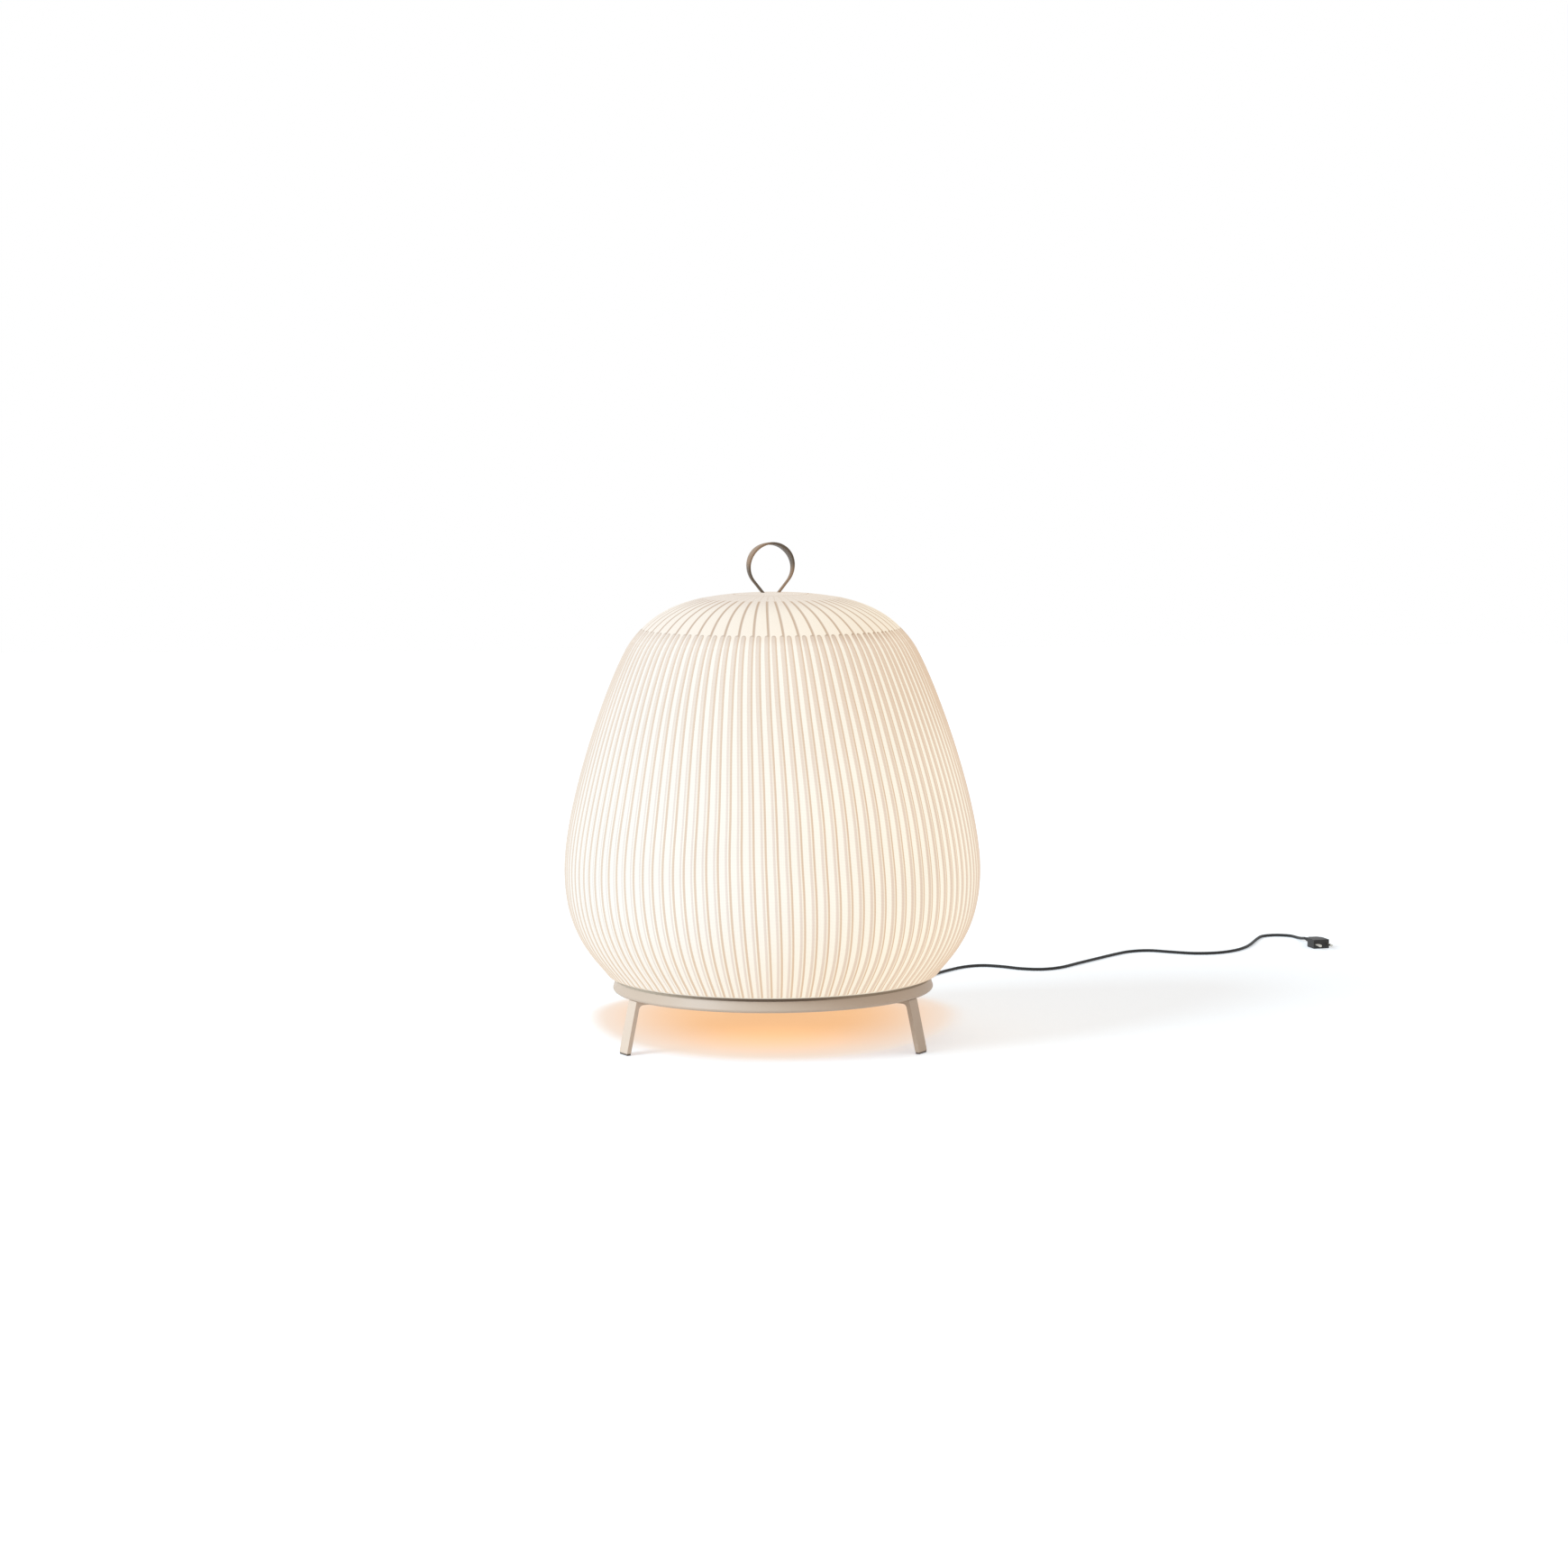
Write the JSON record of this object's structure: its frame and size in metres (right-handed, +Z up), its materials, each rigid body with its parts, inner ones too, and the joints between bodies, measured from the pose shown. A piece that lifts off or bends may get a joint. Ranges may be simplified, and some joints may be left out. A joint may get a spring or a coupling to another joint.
{
  "type": "knitted floor lamp",
  "caption": "Free-standing knitted floor lamp: ribbed shade on a shallow tray with flat legs, loop handle, inner light column, down light, and a mains cord with foot dimmer and plug.",
  "frame": {"origin": "on the floor, under the middle of the tray", "axes": "+Z up, the front of the picture's view faces -Y"},
  "size_m": [1.1699, 1.2463, 0.6822],
  "materials": {
    "cream_knit": "ribbed double knit",
    "tray_paint": "satin powder coat",
    "loop_paint": "satin powder coat",
    "inner_steel": "plain",
    "column_aluminium": "extruded",
    "plated_screw": "zinc plated",
    "white_plastic": "moulded",
    "opal_plastic": "opal",
    "white_board": "solder mask",
    "green_board": "solder mask",
    "black_plastic": "fine texture",
    "black_rubber": "matt",
    "black_cord": "textile braid",
    "white_lead": "smooth sheath",
    "plug_brass": "nickel plated"
  },
  "bodies": {
    "root": {"base_tray": "tray_paint", "leg_front_left": "tray_paint", "leg_front_right": "tray_paint", "leg_rear": "tray_paint", "foot_pad_front_left": "black_rubber", "foot_pad_front_right": "black_rubber", "foot_pad_rear": "black_rubber", "leg_screws": "plated_screw", "leg_nuts": "plated_screw", "glow_diffuser": "opal_plastic", "glow_reflector": "white_plastic", "glow_board": "white_board", "light_housing": "inner_steel", "housing_screws": "plated_screw", "stem_flange": "inner_steel", "flange_screws": "plated_screw", "flange_nuts": "plated_screw", "stem_tube": "inner_steel", "light_column": "column_aluminium", "light_strips": "white_board", "light_tube": "opal_plastic", "stem_plug": "inner_steel", "crown_disc": "white_plastic", "cover_hoop": "inner_steel", "hoop_screws": "plated_screw", "knit_cover": "cream_knit", "handle_loop": "loop_paint", "handle_screw": "plated_screw", "driver_case": "white_plastic", "driver_board": "green_board", "driver_lid": "white_plastic", "driver_screws": "plated_screw", "terminal_block": "white_plastic", "inner_lead": "black_cord", "driver_lead": "white_lead", "column_lead": "white_lead", "cable_gland": "black_plastic", "gland_nut": "black_plastic", "cord_relief": "black_rubber", "cord_from_lamp": "black_cord", "dimmer_base": "black_plastic", "dimmer_board": "green_board", "button_spring": "plated_screw", "dimmer_top": "black_plastic", "dimmer_screws": "plated_screw", "dimmer_reliefs": "black_rubber", "cord_link": "black_cord", "cord_coil": "black_cord", "coil_ties": "black_rubber", "cord_to_plug": "black_cord", "plug_relief": "black_rubber", "plug_body": "black_plastic", "plug_pins": "plug_brass"},
    "button": {"dimmer_button": "black_plastic"}
  },
  "joints": [
    {"name": "button_press", "type": "slide", "parent": "root", "child": "button", "axis": [0, 0, -1], "range_m": [0, 0.002], "stiffness_N_per_m": 400, "springref_m": -0.001, "deforming": ["button_spring"]}
  ]
}
